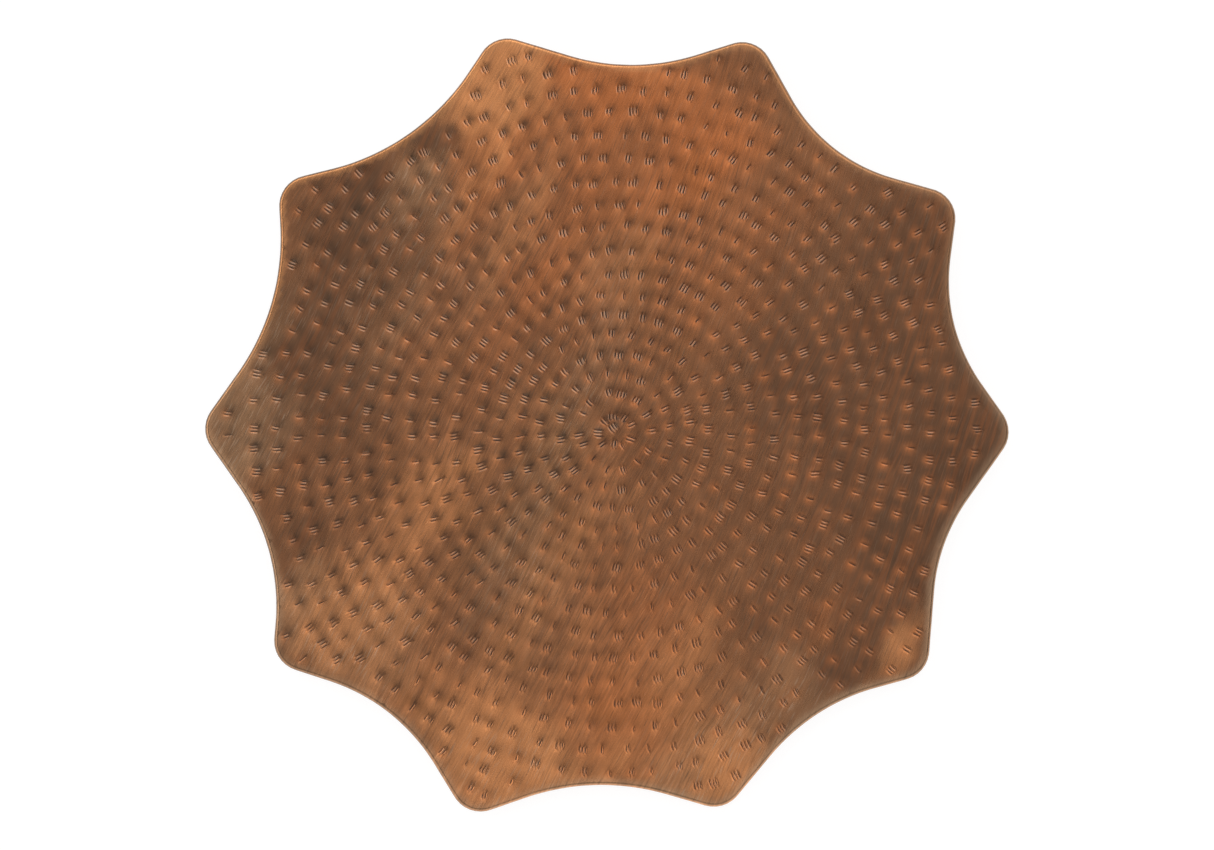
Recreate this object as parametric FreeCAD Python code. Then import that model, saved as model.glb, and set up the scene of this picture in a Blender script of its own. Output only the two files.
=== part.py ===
"""Flat hammered copper tray with a ten-pointed scalloped outline, on a soldered foot ring.

One STEP file per separate piece goes to parts/. Millimetres, +Z up. The origin is the middle of the
tray's outline, on the plane that the felt pads stand on, and +X runs one degree from a point's tip.

How it comes apart on a bench:
  hammered_sheet      the copper sheet, flat, with its edge rolled down and under round a wire
  edge_wire           the steel wire inside that rolled edge, bent to the scalloped outline
  foot_ring           a copper channel bent to a ring, open at one seam
  foot_solder         the film and fillets of solder that join the foot ring to the sheet
  splice_plate        a short strip behind the foot ring's seam
  splice_rivets       the four copper rivets through foot ring and strip
  foot_pads           five felt pads stuck under the foot ring
"""

import math
import os

import FreeCAD
import Part

# Outline, as cut by hand. Each point is a direction in degrees and a distance from the centre. Each
# hollow, between that point and the next, is the same two and the radius of its arc.
POINTS = [
    (-1.0, 250.5),
    (33.0, 255.5),
    (69.0, 254.5),
    (105.5, 249.5),
    (143.5, 249.0),
    (180.5, 250.0),
    (215.5, 250.0),
    (250.5, 254.0),
    (287.0, 247.5),
    (322.5, 248.5),
]
HOLLOWS = [
    (15.5, 225.5, 110.0),
    (51.0, 223.5, 105.0),
    (87.5, 225.0, 135.0),
    (124.5, 219.5, 145.0),
    (161.5, 222.0, 145.0),
    (198.5, 224.0, 130.0),
    (232.5, 224.5, 120.0),
    (269.5, 224.0, 145.0),
    (305.0, 222.5, 130.0),
    (340.5, 223.0, 115.0),
]
POINT_ROUND = 19.0

# Copper sheet and its rolled edge
SHEET = 1.0
WIRE_RADIUS = 0.75
WIRE_CLEARANCE = 0.05
ROLL_END_DEG = -160.0
WIRE_BUTT_GAP = 0.4

# Foot ring: a channel that opens inwards, its wall on FOOT_RADIUS
FOOT_RADIUS = 160.0
FOOT_HEIGHT = 14.0
FOOT_METAL = 1.5
FOOT_BEND = 2.5
FLANGE = 14.0
SEAM_DEG = -90.0
SEAM_GAP = 0.4

# Solder under the sheet
SOLDER_FILM = 0.3
FILLET = 1.4
FILLET_DEG = 50.0

# Splice behind the seam, and its rivets
SPLICE_LENGTH = 56.0
SPLICE_HEIGHT = 8.0
RIVET_RADIUS = 1.5
RIVET_OFFSETS = [-20.0, -9.0, 9.0, 20.0]
RIVET_HEAD_RADIUS = 2.6
RIVET_HEAD_HEIGHT = 1.3
RIVET_TAIL_RADIUS = 2.4
RIVET_TAIL_HEIGHT = 0.9
RIVET_TAIL_LIFT = 0.05

# Felt pads
PAD_COUNT = 5
PAD_RADIUS = 5.0
PAD_HEIGHT = 2.0
PAD_FIRST_DEG = 90.0
PAD_EDGE = 0.75  # bare metal between a pad and the flange's inner edge

# Levels and radii that follow from the above
ROLL_INNER = WIRE_RADIUS + WIRE_CLEARANCE
ROLL_OUTER = ROLL_INNER + SHEET
FOOT_BOTTOM = PAD_HEIGHT
FOOT_TOP = FOOT_BOTTOM + FOOT_HEIGHT
SHEET_BOTTOM = FOOT_TOP + SOLDER_FILM
SHEET_TOP = SHEET_BOTTOM + SHEET
WIRE_LEVEL = SHEET_TOP - ROLL_OUTER
FLANGE_INNER = FOOT_RADIUS - FLANGE
SPLICE_OUTER = FOOT_RADIUS - FOOT_METAL
SPLICE_INNER = SPLICE_OUTER - FOOT_METAL
SPLICE_MIDDLE = (FOOT_BOTTOM + FOOT_TOP) / 2

UP = FreeCAD.Vector(0, 0, 1)
ORIGIN = FreeCAD.Vector(0, 0, 0)


def polar(radius, angle, z=0.0):
    """A point at this radius and angle in radians about the Z axis."""
    return FreeCAD.Vector(radius * math.cos(angle), radius * math.sin(angle), z)


def arc_round(centre, radius, start, end):
    """An arc about centre from one angle to another, through the angle half way."""
    first, middle, last = (centre + polar(radius, a) for a in (start, (start + end) / 2, end))
    return Part.Arc(first, middle, last).toShape()


def flank_direction(point_centre, hollow_centre, hollow_round, side):
    """The outward normal, as an angle, of the straight flank that touches both roundings."""
    across = hollow_centre - point_centre
    lean = math.acos((POINT_ROUND + hollow_round) / across.Length)
    return math.atan2(across.y, across.x) + side * lean


def nearest_turn(angle, to):
    """The same direction, counted so that it lies within half a turn of the other angle."""
    return angle + 2 * math.pi * round((to - angle) / (2 * math.pi))


def outline(inset, level):
    """The scalloped outline, moved inwards by inset: rounded points, straight flanks, hollow arcs."""
    lift = UP * level
    centres = [polar(r - POINT_ROUND, math.radians(a)) + lift for a, r in POINTS]
    hollows = [(polar(r + size, math.radians(a)) + lift, size) for a, r, size in HOLLOWS]
    rounding = POINT_ROUND - inset
    edges = []
    for i, (hollow, size) in enumerate(hollows):
        point, following = centres[i], centres[(i + 1) % len(centres)]
        arrive = flank_direction(point, *hollows[i - 1], 1)
        leave = nearest_turn(flank_direction(point, hollow, size, -1), arrive)
        enter = nearest_turn(flank_direction(following, hollow, size, 1), leave)
        hollow_start = hollow - polar(size + inset, leave)
        hollow_end = hollow - polar(size + inset, enter)
        edges.append(arc_round(point, rounding, arrive, leave))
        edges.append(Part.makeLine(point + polar(rounding, leave), hollow_start))
        edges.append(arc_round(hollow, size + inset, leave + math.pi, enter + math.pi))
        edges.append(Part.makeLine(hollow_end, following + polar(rounding, enter)))
    return Part.Wire(edges)


def section_frame(path):
    """Where the path starts, and the outward direction there."""
    start = path.Edges[0]
    place = start.valueAt(start.FirstParameter)
    along = start.tangentAt(start.FirstParameter)
    return place, along.cross(UP).normalize()


def rolled_edge(path):
    """The sheet's edge, bent over the top of the wire, round its outside and back in below it."""
    place, out = section_frame(path)

    def spot(radius, degrees):
        angle = math.radians(degrees)
        return place + out * (radius * math.cos(angle)) + UP * (radius * math.sin(angle))

    half = (90.0 + ROLL_END_DEG) / 2
    outer = Part.Arc(spot(ROLL_OUTER, 90), spot(ROLL_OUTER, half), spot(ROLL_OUTER, ROLL_END_DEG))
    inner = Part.Arc(spot(ROLL_INNER, ROLL_END_DEG), spot(ROLL_INNER, half), spot(ROLL_INNER, 90))
    section = Part.Wire(
        [
            outer.toShape(),
            Part.makeLine(spot(ROLL_OUTER, ROLL_END_DEG), spot(ROLL_INNER, ROLL_END_DEG)),
            inner.toShape(),
            Part.makeLine(spot(ROLL_INNER, 90), spot(ROLL_OUTER, 90)),
        ]
    )
    return path.makePipeShell([section], True, False)


def hammered_sheet(path):
    flat = Part.Face(outline(ROLL_OUTER, SHEET_BOTTOM)).extrude(UP * SHEET)
    return flat.fuse(rolled_edge(path)).removeSplitter()


def edge_wire(path):
    """The wire's two ends meet on the last flank, with the small gap that a butt joint leaves."""
    place, out = section_frame(path)
    circle = Part.Wire([Part.Circle(place, out.cross(UP), WIRE_RADIUS).toShape()])
    ring = path.makePipeShell([circle], True, False)
    flank = path.Edges[-1]
    half_way = (flank.FirstParameter + flank.LastParameter) / 2
    along = flank.tangentAt(half_way)
    width = 4 * WIRE_RADIUS
    corner = FreeCAD.Vector(-WIRE_BUTT_GAP / 2, -width / 2, -width / 2)
    gap = Part.makeBox(WIRE_BUTT_GAP, width, width, corner)
    gap.rotate(ORIGIN, UP, math.degrees(math.atan2(along.y, along.x)))
    gap.translate(flank.valueAt(half_way))
    return ring.cut(gap)


def ring_point(radius, z):
    """A point of a section that is turned about the Z axis."""
    return FreeCAD.Vector(radius, 0, z)


def bend(radius, z, size, start):
    """A quarter bend about a section point, turning towards -Z from the start angle in degrees."""
    angles = [math.radians(start - step) for step in (0, 45, 90)]
    spots = [ring_point(radius + size * math.cos(a), z + size * math.sin(a)) for a in angles]
    return Part.Arc(*spots).toShape()


def foot_channel():
    """The foot ring before its seam is cut and its rivet holes are drilled."""
    bend_radius = FOOT_RADIUS - FOOT_BEND
    low, high = FOOT_BOTTOM + FOOT_BEND, FOOT_TOP - FOOT_BEND
    inside_bend = FOOT_BEND - FOOT_METAL
    wall_inside = FOOT_RADIUS - FOOT_METAL
    upper_bend = bend(bend_radius, high, FOOT_BEND, 90)
    lower_bend = bend(bend_radius, low, FOOT_BEND, 0)
    upper_inner = bend(bend_radius, high, inside_bend, 90)
    lower_inner = bend(bend_radius, low, inside_bend, 0)
    inner_low, inner_high = FOOT_BOTTOM + FOOT_METAL, FOOT_TOP - FOOT_METAL
    section = Part.Wire(
        [
            Part.makeLine(ring_point(FLANGE_INNER, FOOT_TOP), ring_point(bend_radius, FOOT_TOP)),
            upper_bend,
            Part.makeLine(ring_point(FOOT_RADIUS, high), ring_point(FOOT_RADIUS, low)),
            lower_bend,
            Part.makeLine(ring_point(bend_radius, FOOT_BOTTOM), ring_point(FLANGE_INNER, FOOT_BOTTOM)),
            Part.makeLine(ring_point(FLANGE_INNER, FOOT_BOTTOM), ring_point(FLANGE_INNER, inner_low)),
            Part.makeLine(ring_point(FLANGE_INNER, inner_low), ring_point(bend_radius, inner_low)),
            lower_inner,
            Part.makeLine(ring_point(wall_inside, low), ring_point(wall_inside, high)),
            upper_inner,
            Part.makeLine(ring_point(bend_radius, inner_high), ring_point(FLANGE_INNER, inner_high)),
            Part.makeLine(ring_point(FLANGE_INNER, inner_high), ring_point(FLANGE_INNER, FOOT_TOP)),
        ]
    )
    return Part.Face(section).revolve(ORIGIN, UP, 360)


def at_seam(shape, offset=0.0):
    """Turns a shape built along +X to the seam, offset millimetres round the foot ring from it."""
    shape.rotate(ORIGIN, UP, SEAM_DEG + math.degrees(offset / FOOT_RADIUS))
    return shape


def rivet_shanks():
    """The round bars that drill the holes, one for each rivet."""
    start, end = SPLICE_INNER - RIVET_TAIL_LIFT, FOOT_RADIUS
    along = FreeCAD.Vector(1, 0, 0)
    place = FreeCAD.Vector(start, 0, SPLICE_MIDDLE)
    return [
        at_seam(Part.makeCylinder(RIVET_RADIUS, end - start, place, along), offset)
        for offset in RIVET_OFFSETS
    ]


def foot_ring():
    overlap = 1.0
    slot = Part.makeBox(
        FLANGE + 2 * overlap,
        SEAM_GAP,
        FOOT_HEIGHT + 2 * overlap,
        FreeCAD.Vector(FLANGE_INNER - overlap, -SEAM_GAP / 2, FOOT_BOTTOM - overlap),
    )
    channel = foot_channel().cut(at_seam(slot))
    for shank in rivet_shanks():
        channel = channel.cut(shank)
    return channel


def splice_plate():
    low = SPLICE_MIDDLE - SPLICE_HEIGHT / 2
    spread = math.degrees(SPLICE_LENGTH / FOOT_RADIUS)
    section = Part.makePolygon(
        [
            ring_point(SPLICE_INNER, low),
            ring_point(SPLICE_OUTER, low),
            ring_point(SPLICE_OUTER, low + SPLICE_HEIGHT),
            ring_point(SPLICE_INNER, low + SPLICE_HEIGHT),
            ring_point(SPLICE_INNER, low),
        ]
    )
    strip = Part.Face(section).revolve(ORIGIN, UP, spread)
    strip.rotate(ORIGIN, UP, -spread / 2)
    strip = at_seam(strip)
    for shank in rivet_shanks():
        strip = strip.cut(shank)
    return strip


def rivet_head():
    """A domed head on the outside of the foot ring, as a slice of a ball."""
    ball_radius = (RIVET_HEAD_RADIUS**2 + RIVET_HEAD_HEIGHT**2) / (2 * RIVET_HEAD_HEIGHT)
    centre = FreeCAD.Vector(FOOT_RADIUS + RIVET_HEAD_HEIGHT - ball_radius, 0, SPLICE_MIDDLE)
    keep = Part.makeCylinder(
        RIVET_HEAD_RADIUS * 2,
        RIVET_HEAD_HEIGHT * 2,
        FreeCAD.Vector(FOOT_RADIUS, 0, SPLICE_MIDDLE),
        FreeCAD.Vector(1, 0, 0),
    )
    return Part.makeSphere(ball_radius, centre).common(keep)


def rivet_tail():
    """The flat end hammered over inside the strip."""
    start = SPLICE_INNER - RIVET_TAIL_LIFT - RIVET_TAIL_HEIGHT
    place = FreeCAD.Vector(start, 0, SPLICE_MIDDLE)
    return Part.makeCylinder(RIVET_TAIL_RADIUS, RIVET_TAIL_HEIGHT, place, FreeCAD.Vector(1, 0, 0))


def splice_rivets():
    rivets = []
    for offset, shank in zip(RIVET_OFFSETS, rivet_shanks()):
        head = at_seam(rivet_head(), offset)
        tail = at_seam(rivet_tail(), offset)
        rivets.append(shank.fuse([head, tail]).removeSplitter())
    return Part.makeCompound(rivets)


def foot_solder():
    """A film on the upper flange, with a fillet at the flange's edge and one at the wall's bend."""
    bend_radius = FOOT_RADIUS - FOOT_BEND
    high = FOOT_TOP - FOOT_BEND
    lean, half_lean = math.radians(FILLET_DEG), math.radians((FILLET_DEG + 90) / 2)

    def on_bend(angle):
        return ring_point(bend_radius + FOOT_BEND * math.cos(angle), high + FOOT_BEND * math.sin(angle))

    against_bend = Part.Arc(on_bend(lean), on_bend(half_lean), ring_point(bend_radius, FOOT_TOP))
    outer_toe = ring_point(FOOT_RADIUS + FILLET, SHEET_BOTTOM)
    inner_toe = ring_point(FLANGE_INNER - FILLET, SHEET_BOTTOM)
    inner_foot = ring_point(FLANGE_INNER, FOOT_TOP - FILLET / 2)
    section = Part.Wire(
        [
            Part.makeLine(inner_toe, outer_toe),
            Part.makeLine(outer_toe, on_bend(lean)),
            against_bend.toShape(),
            Part.makeLine(ring_point(bend_radius, FOOT_TOP), ring_point(FLANGE_INNER, FOOT_TOP)),
            Part.makeLine(ring_point(FLANGE_INNER, FOOT_TOP), inner_foot),
            Part.makeLine(inner_foot, inner_toe),
        ]
    )
    return Part.Face(section).revolve(ORIGIN, UP, 360)


def foot_pads():
    radius = FLANGE_INNER + PAD_EDGE + PAD_RADIUS
    pads = []
    for i in range(PAD_COUNT):
        angle = math.radians(PAD_FIRST_DEG + i * 360 / PAD_COUNT)
        pads.append(Part.makeCylinder(PAD_RADIUS, PAD_HEIGHT, polar(radius, angle)))
    return Part.makeCompound(pads)


def main():
    wire_path = outline(ROLL_OUTER, WIRE_LEVEL)
    pieces = {
        "hammered_sheet": hammered_sheet(wire_path),
        "edge_wire": edge_wire(wire_path),
        "foot_ring": foot_ring(),
        "foot_solder": foot_solder(),
        "splice_plate": splice_plate(),
        "splice_rivets": splice_rivets(),
        "foot_pads": foot_pads(),
    }
    os.makedirs("parts", exist_ok=True)
    for name, shape in pieces.items():
        if not shape.isValid():
            raise ValueError(name + " is not a valid shape")
        shape.exportStep(os.path.join("parts", name + ".step"))
        print(name, len(shape.Solids), "solids", round(shape.Volume), "mm3", shape.BoundBox)


main()
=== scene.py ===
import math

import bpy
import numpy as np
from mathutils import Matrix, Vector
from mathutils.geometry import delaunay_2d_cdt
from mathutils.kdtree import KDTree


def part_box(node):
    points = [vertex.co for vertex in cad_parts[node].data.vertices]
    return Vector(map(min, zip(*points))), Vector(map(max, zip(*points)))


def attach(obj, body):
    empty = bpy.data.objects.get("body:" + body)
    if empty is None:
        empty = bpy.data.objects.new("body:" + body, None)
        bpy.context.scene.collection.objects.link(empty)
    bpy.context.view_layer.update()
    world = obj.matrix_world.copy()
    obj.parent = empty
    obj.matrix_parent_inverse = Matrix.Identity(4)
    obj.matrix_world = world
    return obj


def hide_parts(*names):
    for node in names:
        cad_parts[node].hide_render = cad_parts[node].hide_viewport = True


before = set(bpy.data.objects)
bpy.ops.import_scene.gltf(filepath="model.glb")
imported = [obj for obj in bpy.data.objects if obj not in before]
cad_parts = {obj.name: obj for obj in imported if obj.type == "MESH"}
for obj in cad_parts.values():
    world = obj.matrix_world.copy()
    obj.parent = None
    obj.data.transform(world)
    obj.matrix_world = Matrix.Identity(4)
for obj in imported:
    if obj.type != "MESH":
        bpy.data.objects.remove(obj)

# The looks of the hammered copper tray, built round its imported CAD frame.
#
# The copper sheet is rebuilt as one closed mesh with every hammer mark as real shape, and stands for the
# CAD sheet. The solder and the felt pads are rebuilt too. The foot ring, splice, rivets and edge wire are
# the CAD nodes themselves, with their own materials. Blender works in metres; sizes below are in
# millimetres and turned into metres where a mesh is made. A bearing is an angle from +X, in radians unless
# its name says otherwise.

bpy.context.view_layer.update()

MM = 0.001
TURN = 2 * math.pi


def node_box(node):
    """The lowest and highest corner of a CAD node, in millimetres."""
    low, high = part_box(node)
    return np.array(low) / MM, np.array(high) / MM


SHEET_HIGH = node_box("hammered_sheet")[1]
WIRE_LOW, WIRE_HIGH = node_box("edge_wire")
RING_HIGH = node_box("foot_ring")[1]
SOLDER_HIGH = node_box("foot_solder")[1]
PADS_LOW, PADS_HIGH = node_box("foot_pads")

# The sheet's faces, and its roll round the edge wire
TOP = SHEET_HIGH[2]
UNDER = SOLDER_HIGH[2]
SHEET = TOP - UNDER
WIRE_LEVEL = (WIRE_LOW[2] + WIRE_HIGH[2]) / 2
ROLL_OUTER = TOP - WIRE_LEVEL
ROLL_INNER = ROLL_OUTER - SHEET
ROLL_END_DEG = -160.0

# The foot ring's upper flange, with a fillet of solder along both its edges
FLANGE = 14.0
FOOT_BEND = 2.5
FILLET = 1.4
FOOT_WIDTH = FLANGE + 2 * FILLET
FOOT_MIDDLE = SOLDER_HIGH[0] - FOOT_WIDTH / 2

# Hammer marks: rings of short ribbed dents about a centre that the smith had slightly off the middle
RING_CENTRE = np.array([5.3, -4.0])
FIRST_RING = 10.6
INNER_PITCH = 12.4
OUTER_PITCH = 14.1
INNER_RINGS = 6
LAST_RING = 250.0
MARK_EDGE = 5.0

# Distance from mark to mark along a ring, how much it grows out to the last ring, and how much closer the
# marks stand on the first ring
MARK_PITCH = 10.4
PITCH_GAIN = 4.6
FIRST_RING_CLOSER = 3.6

# One mark. Pairs are the least and the most. A groove's lip is the ridge that it throws up beside it.
GROOVE_COUNTS = {1: 0.26, 2: 0.43, 3: 0.31}
GROOVE_PITCH = 1.95
GROOVE_WIDTH = 0.48
GROOVE_LENGTH = (3.8, 5.1)
GROOVE_DEPTH = (0.17, 0.34)
GROOVE_END = 0.9
LIP_SHARE = 0.5
DENT_DEPTH = (0.1, 0.3)
DENT_ACROSS = (2.7, 3.4)
DENT_ALONG = (2.5, 3.3)
DENT_OFF = 0.8
MARK_REACH = 14.0

# The bearing at which the grooves are deepest, and so on
DEEPEST_AT = 2.0
DENTED_AT = 2.5
# The next two are the bearings where the dents' painted highlight, then their painted shade, is strongest
LIT_SIDE_AT = 0.3
DENT_SHADED_AT = 2.7
CRISPEST_AT = 1.3
GLEAMING_AT = 1.8

# Each mark's painted highlight on its dent's lit side, and the painted shade of the unlit side beside it
HIGHLIGHT_SHIFT = np.array([-0.8, -0.3])
HIGHLIGHT_SPREAD = 2.3
DENT_SHADE_SHIFT = np.array([1.9, 2.7])
DENT_SHADE_SIZE = (1.5, 2.3)

# The sheet's own slow waves, and how far from the fold line all relief has faded in
LONG_WAVE = 70.0
LONG_WAVE_HEIGHT = 0.16
SHORT_WAVE = 28.0
SHORT_WAVE_HEIGHT = 0.08
EDGE_FADE = 4.5

# How much of a dent shows underneath, and how far it may stand proud there: over the foot ring, and
# elsewhere, with the change between the two this long
DENT_THROUGH = 0.85
FOOT_ROOM = 0.27
OPEN_ROOM = 0.6
ROOM_CHANGE = 8.0

# How far in from the fold line the edge's pale painted highlight reaches, and how wide its bright one is
RIM_HIGHLIGHT_REACH = 5.0
EDGE_HIGHLIGHT_WIDTH = 1.6

# Felt pads
PAD_COUNT = 5
PAD_RADIUS = 5.0

# Mesh density
STATION_STEP = 3.2
CURVE_STEPS = 24
FILL_STEP = 3.0
UNDER_STEP = 4.8
SHOULDER = 0.5
PATCH_MARGIN = 0.9
OUTER_STEPS = 9
INNER_STEPS = 4


def smooth(t):
    """0 below 0, 1 above 1, and a smooth rise between."""
    t = np.clip(t, 0.0, 1.0)
    return t * t * (3 - 2 * t)


def ripple(points, wavelength, seed, waves=9):
    """Gentle irregular waves of about this wavelength, between -1 and 1, at 2-D points."""
    rng = np.random.default_rng(seed)
    total = np.zeros(len(points))
    for _ in range(waves):
        angle = rng.uniform(0, TURN)
        length = wavelength * rng.uniform(0.7, 1.5)
        phase = rng.uniform(0, TURN)
        along = points[:, 0] * math.cos(angle) + points[:, 1] * math.sin(angle)
        total += np.cos(along * TURN / length + phase)
    return total / waves * 1.6


# ---------------- outline


def fold_corners():
    """The corners of the CAD sheet's flat top, in order round the tray."""
    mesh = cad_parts["hammered_sheet"].data
    level = TOP * MM - 1e-6
    corners = {(round(v.co.x, 6), round(v.co.y, 6)) for v in mesh.vertices if v.co.z > level}
    ordered = sorted(corners, key=lambda p: math.atan2(p[1], p[0]))
    return np.array(ordered) / MM


def fold_line():
    """Evenly spaced stations on the line where the flat top begins to roll over, and outward normals.

    The corners lie on arcs joined by straight flanks. A flank's two ends turn opposite ways. Everywhere
    else the tangent is that of the circle through a corner and its two neighbours.
    """
    corners = fold_corners()
    chords = np.roll(corners, -1, axis=0) - corners
    lengths = np.linalg.norm(chords, axis=1)
    ahead = chords / lengths[:, None]
    behind = np.roll(ahead, 1, axis=0)
    length_behind = np.roll(lengths, 1)
    turning = behind[:, 0] * ahead[:, 1] - behind[:, 1] * ahead[:, 0]
    straight_ahead = turning * np.roll(turning, -1) < 0
    straight_behind = np.roll(straight_ahead, 1)
    tangents = behind * lengths[:, None] + ahead * length_behind[:, None]
    tangents[straight_behind] = behind[straight_behind]
    tangents[straight_ahead] = ahead[straight_ahead]
    tangents /= np.linalg.norm(tangents, axis=1)[:, None]

    fine = []
    for i, start in enumerate(corners):
        end = corners[(i + 1) % len(corners)]
        pull = tangents[i] * lengths[i]
        push = tangents[(i + 1) % len(corners)] * lengths[i]
        for t in np.linspace(0, 1, CURVE_STEPS, endpoint=False):
            rise = t * t * (3 - 2 * t)
            bend = pull * t * (1 - t) ** 2 - push * t * t * (1 - t)
            fine.append(start * (1 - rise) + end * rise + bend)
    fine = np.array(fine + [fine[0]])
    walked = np.concatenate([[0], np.cumsum(np.linalg.norm(np.diff(fine, axis=0), axis=1))])
    count = int(round(walked[-1] / STATION_STEP))
    at = np.linspace(0, walked[-1], count, endpoint=False)
    stations = np.column_stack([np.interp(at, walked, fine[:, i]) for i in (0, 1)])
    along = np.roll(stations, -1, axis=0) - np.roll(stations, 1, axis=0)
    along /= np.linalg.norm(along, axis=1)[:, None]
    return stations, np.column_stack([along[:, 1], -along[:, 0]])


def edge_distance(points, stations):
    """How far each point lies inside the fold line; negative outside."""
    tree = KDTree(len(stations))
    for i, place in enumerate(stations):
        tree.insert((place[0], place[1], 0.0), i)
    tree.balance()
    reach = np.hypot(stations[:, 0], stations[:, 1])
    bearing = np.arctan2(stations[:, 1], stations[:, 0])
    order = np.argsort(bearing)
    towards = np.arctan2(points[:, 1], points[:, 0])
    limit = np.interp(towards, bearing[order], reach[order], period=TURN)
    away = np.array([tree.find((x, y, 0.0))[2] for x, y in points])
    return np.where(np.hypot(points[:, 0], points[:, 1]) < limit, away, -away)


# ---------------- hammer marks


def strike(rng, centre, bearing):
    """One blow of the ribbed hammer: a shallow dent with one to three short grooves in it.

    Four of its numbers say how strongly the painted highlight on its dent's lit side, the painted shade on
    the unlit side, the darker bottoms of its grooves (crisp) and the polish on its lips (gleam) show.
    """
    count = int(rng.choice(list(GROOVE_COUNTS), p=list(GROOVE_COUNTS.values())))
    length = rng.uniform(*GROOVE_LENGTH)
    far = min(1.0, float(np.hypot(*(centre - RING_CENTRE))) / 90)

    def towards(side):
        return math.cos(bearing - side)

    grooves = []
    for i in range(count):
        place = (i - (count - 1) / 2) * GROOVE_PITCH * rng.uniform(0.93, 1.07)
        groove = {
            "place": place + rng.uniform(-0.1, 0.1),
            "depth": rng.uniform(*GROOVE_DEPTH) * (0.96 - far * (0.06 - 0.1 * towards(DEEPEST_AT))),
            "half": length / 2 * rng.uniform(0.78, 1.0),
            "shift": rng.uniform(-0.3, 0.3),
        }
        grooves.append(groove)
    return {
        "centre": centre,
        "bearing": bearing,
        "grooves": grooves,
        "half_length": length / 2,
        "bow": rng.uniform(-0.03, 0.03),
        "dent": rng.uniform(*DENT_DEPTH) * (0.85 + 0.3 * towards(DENTED_AT)),
        "dent_across": rng.uniform(*DENT_ACROSS),
        "dent_along": rng.uniform(*DENT_ALONG),
        "dent_off": rng.normal(0, DENT_OFF, 2),
        # How strongly the painted highlight on the dent's lit side, then the painted shade on its unlit
        # side, show
        "lit_side": rng.uniform(0.35, 1.0) * (0.8 + 0.25 * towards(LIT_SIDE_AT)),
        "dent_shade": rng.uniform(0.3, 1.0) * max(0.0, 0.3 + 0.5 * towards(DENT_SHADED_AT)),
        "dent_shade_size": rng.uniform(*DENT_SHADE_SIZE),
        "crisp": 1.0 - far * (0.12 - 0.1 * towards(CRISPEST_AT)),
        "gleam": 1.0 - far * (0.1 - 0.3 * towards(GLEAMING_AT)),
    }


def strikes(stations):
    """All the blows: one in the middle, then ring after ring out to the rolled edge."""
    rng = np.random.default_rng(41)
    marks = [strike(rng, RING_CENTRE + np.array([-1.0, 2.5]), 2.2)]
    radius = FIRST_RING
    ring = 0
    while radius < LAST_RING:
        pitch = MARK_PITCH + PITCH_GAIN * (radius / LAST_RING) ** 0.75
        pitch -= FIRST_RING_CLOSER * math.exp((FIRST_RING - radius) / 8)
        count = int(round(TURN * radius / pitch))
        start = rng.uniform(0, TURN)
        lobe = rng.uniform(0, TURN)
        for i in range(count):
            bearing = start + (i + rng.uniform(-0.2, 0.2)) * TURN / count
            reach = radius + 0.9 * math.cos(2 * bearing + lobe) + rng.normal(0, 0.6)
            centre = RING_CENTRE + reach * np.array([math.cos(bearing), math.sin(bearing)])
            marks.append(strike(rng, centre, bearing + rng.normal(0, 0.1)))
        radius += INNER_PITCH if ring < INNER_RINGS else OUTER_PITCH
        ring += 1
    inside = edge_distance(np.array([m["centre"] for m in marks]), stations) > MARK_EDGE
    return [m for m, keep in zip(marks, inside) if keep]


def in_mark(mark, points):
    """Points in a mark's own frame: across its grooves, and along them away from the rings' centre."""
    c, s = math.cos(mark["bearing"]), math.sin(mark["bearing"])
    away = points - mark["centre"]
    along = away[:, 0] * c + away[:, 1] * s
    across = -away[:, 0] * s + away[:, 1] * c
    return across, along


def from_mark(mark, across, along):
    """The reverse of in_mark."""
    c, s = math.cos(mark["bearing"]), math.sin(mark["bearing"])
    return mark["centre"] + np.column_stack([along * c - across * s, along * s + across * c])


def patch_columns(mark):
    """Where a mark's mesh columns run: on each groove's bottom, walls and lips, and half way between."""
    places = sorted(g["place"] for g in mark["grooves"])
    lip = GROOVE_WIDTH * 1.8
    columns = [places[0] - 3.3 * GROOVE_WIDTH, places[0] - lip]
    for before, place in zip([None] + places, places):
        if before is not None:
            columns.append((before + place) / 2)
        columns += [place + share * GROOVE_WIDTH for share in (-1.05, -0.5, 0, 0.5, 1.05)]
    return columns + [places[-1] + lip, places[-1] + 3.3 * GROOVE_WIDTH]


def patch_rows(mark):
    """Where a mark's mesh rows run: past both ends of the grooves, at the ends, and between."""
    half = mark["half_length"]
    return [-half - 0.5, -half + 0.35, 0, half - 0.35, half + 0.5]


def patch_points(mark):
    """A mark's mesh points on the flat, bent with its grooves."""
    across, along = np.meshgrid(patch_columns(mark), patch_rows(mark))
    across, along = across.ravel(), along.ravel()
    return from_mark(mark, across + mark["bow"] * along**2, along)


def long_waves(points):
    """The height of the sheet's longest waves, which top and underside share."""
    return LONG_WAVE_HEIGHT * ripple(points, LONG_WAVE, 3)


def cloud(away, spread):
    """A soft round spot: 1 in the middle, and fading over this distance."""
    return np.exp(-((away / spread) ** 2).sum(axis=1) / 2)


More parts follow.
